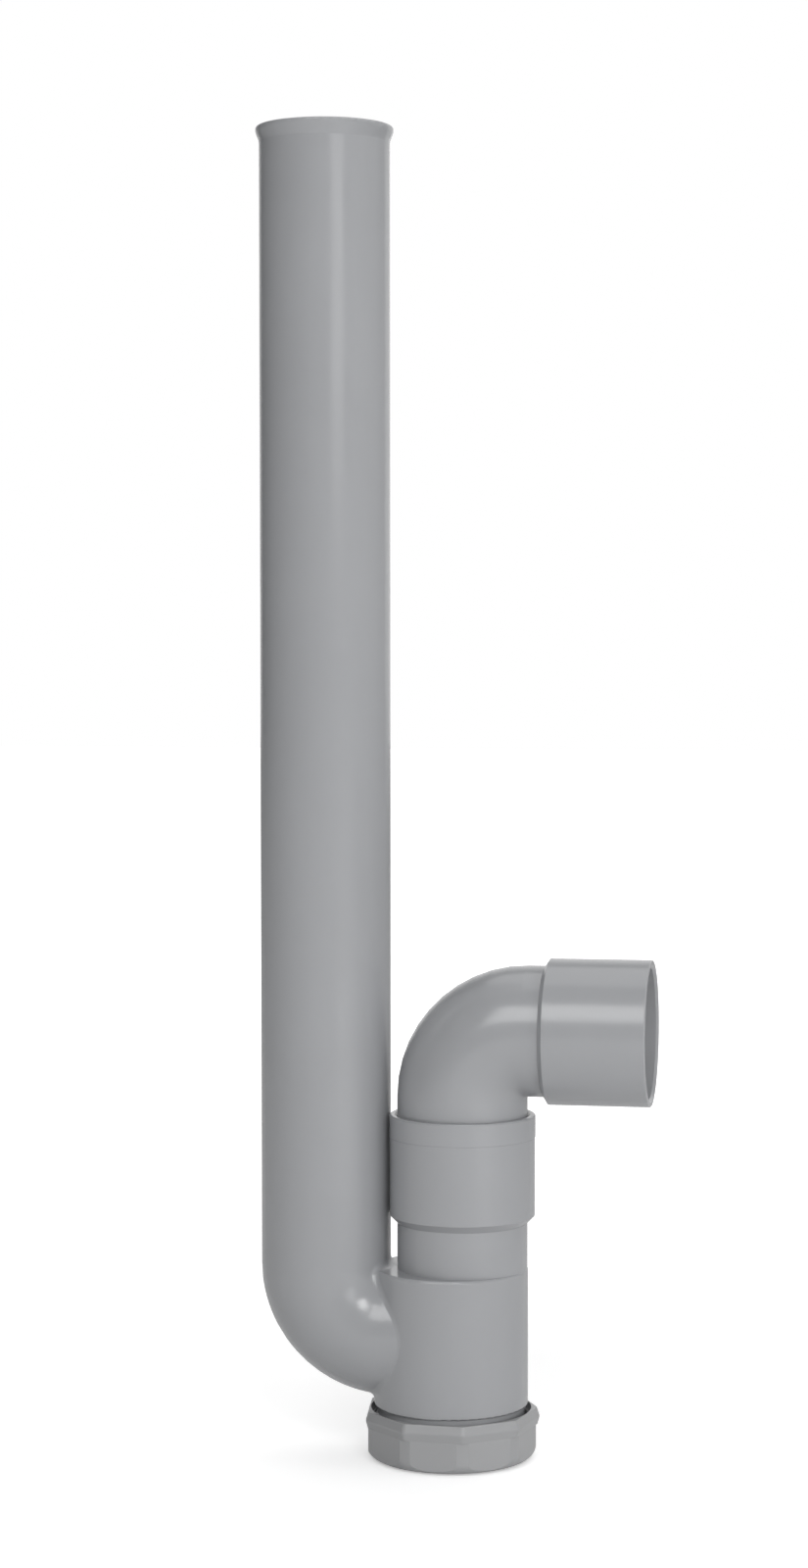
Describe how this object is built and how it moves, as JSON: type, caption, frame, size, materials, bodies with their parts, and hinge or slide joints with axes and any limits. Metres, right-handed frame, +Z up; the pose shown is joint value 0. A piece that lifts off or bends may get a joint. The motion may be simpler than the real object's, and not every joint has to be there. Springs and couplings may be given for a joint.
{
  "type": "washing machine trap",
  "caption": "Upright waste trap with a tall standpipe, a cleaning body with a nine-sided screw cap, and a swivelling outlet elbow with a pipe socket.",
  "frame": {"origin": "centre of the cleaning cap's flat bottom, on the cleaning body's axis", "axes": "+Z up along the standpipe, +X out of the outlet socket with the outlet turned straight away from the standpipe"},
  "size_m": [0.1219, 0.0534, 0.4068],
  "materials": {
    "trap_pvc": "semi-gloss",
    "cap_pvc": "semi-gloss",
    "gasket_rubber": "matte"
  },
  "bodies": {
    "trap": {"trap_body": "trap_pvc"},
    "outlet": {"outlet_elbow": "trap_pvc"},
    "gasket": {"cap_gasket": "gasket_rubber"},
    "cap": {"cleaning_cap": "cap_pvc"}
  },
  "joints": [
    {"name": "outlet_swivel", "type": "hinge", "parent": "trap", "child": "outlet", "pos_m": [0.0035, 0, 0.07775], "axis": [0, 0, 1], "range_deg": [-105, 105]},
    {"name": "cap_travel", "type": "slide", "parent": "trap", "child": "gasket", "axis": [0, 0, -1], "range_m": [0, 0.008]},
    {"name": "cap_turn", "type": "hinge", "parent": "gasket", "child": "cap", "pos_m": [0, 0, 0], "axis": [0, 0, -1], "range_deg": [0, 720]}
  ],
  "couplings": [
    {"joint": "cap_travel", "follows": "cap_turn", "m_per_rad": 0.0006366}
  ]
}
